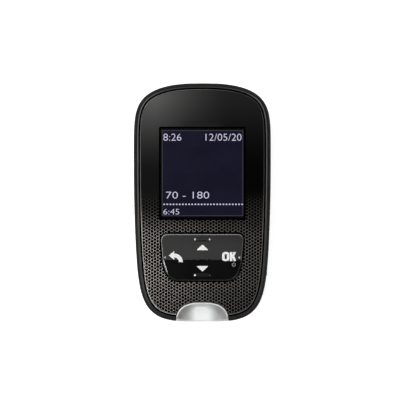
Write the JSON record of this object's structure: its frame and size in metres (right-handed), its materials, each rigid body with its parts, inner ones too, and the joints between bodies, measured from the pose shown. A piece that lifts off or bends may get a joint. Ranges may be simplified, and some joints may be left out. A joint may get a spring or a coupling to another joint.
{
  "type": "blood glucose meter",
  "caption": "Hand-held blood glucose meter with a glossy dark face, square display, rocker key plate and a pale strip port at its lower end.",
  "frame": {"origin": "bottom centre of the bounding box: on the flat back that it lies on, under the middle of its length and width", "axes": "+Z out of the face, +Y towards the top end with the data socket, +X to the right as a reader sees the face"},
  "size_m": [0.046, 0.0799, 0.02],
  "materials": {
    "back_plastic": "matte",
    "rim_plastic": "satin",
    "button_plastic": "satin",
    "face_gloss": "gloss",
    "window_glass": "gloss",
    "key_gloss": "gloss",
    "lens_frosted": "satin",
    "board": "satin",
    "display": "gloss",
    "gasket": "matte",
    "white_plastic": "satin",
    "ribbon": "satin",
    "silicone": "matte",
    "spring_metal": "polished",
    "cell_steel": "polished",
    "shield_metal": "satin",
    "black_plastic": "satin",
    "gold_metal": "polished",
    "chip_mixed": "satin",
    "screw_steel": "satin"
  },
  "bodies": {
    "root": {"rear_cover": "back_plastic", "front_housing": "rim_plastic", "face_plate": "face_gloss", "display_window": "window_glass", "strip_port_lens": "lens_frosted", "main_board": "board", "lcd_glass": "display", "lcd_gasket": "gasket", "lcd_backlight": "white_plastic", "lcd_frame": "white_plastic", "lcd_ribbon": "ribbon", "pivot_seat": "white_plastic", "key_mat": "silicone", "dome_switches": "spring_metal", "coin_cell_upper": "cell_steel", "coin_cell_lower": "cell_steel", "cell_spring_contacts": "spring_metal", "cell_side_contacts": "spring_metal", "usb_socket": "shield_metal", "usb_tongue": "black_plastic", "strip_connector": "white_plastic", "strip_contacts": "gold_metal", "port_lights": "white_plastic", "beeper": "black_plastic", "radio_module": "shield_metal", "processor": "black_plastic", "board_components": "chip_mixed", "case_screws": "screw_steel", "ejector_spring": "spring_metal"},
    "key_pivot": {"key_pivot": "white_plastic"},
    "key_plate": {"key_plate": "key_gloss"},
    "battery_door": {"battery_door": "back_plastic"},
    "ejector_button": {"ejector_button": "button_plastic"},
    "strip_pusher": {"strip_pusher": "white_plastic"}
  },
  "joints": [
    {"name": "keys_up_down", "type": "hinge", "parent": "root", "child": "key_pivot", "pos_m": [0, -0.0185, 0.0166], "axis": [1, 0, 0], "range_deg": [-3, 3], "stiffness_Nm_per_rad": 0.15, "deforming": ["key_mat", "dome_switches"]},
    {"name": "keys_back_ok", "type": "hinge", "parent": "key_pivot", "child": "key_plate", "pos_m": [0, -0.0185, 0.0166], "axis": [0, 1, 0], "range_deg": [-1.65, 1.65], "stiffness_Nm_per_rad": 0.2},
    {"name": "battery_door_hinge", "type": "hinge", "parent": "root", "child": "battery_door", "pos_m": [0, 0.0296, 0.00115], "axis": [1, 0, 0], "range_deg": [0, 75]},
    {"name": "ejector_press", "type": "slide", "parent": "root", "child": "ejector_button", "axis": [-1, 0, 0], "range_m": [0, 0.0018], "stiffness_N_per_m": 300, "deforming": ["ejector_spring"]},
    {"name": "pusher_slide", "type": "slide", "parent": "root", "child": "strip_pusher", "axis": [0, -1, 0], "range_m": [0, 0.0036]}
  ],
  "couplings": [
    {"joint": "pusher_slide", "follows": "ejector_press", "ratio": 2}
  ]
}
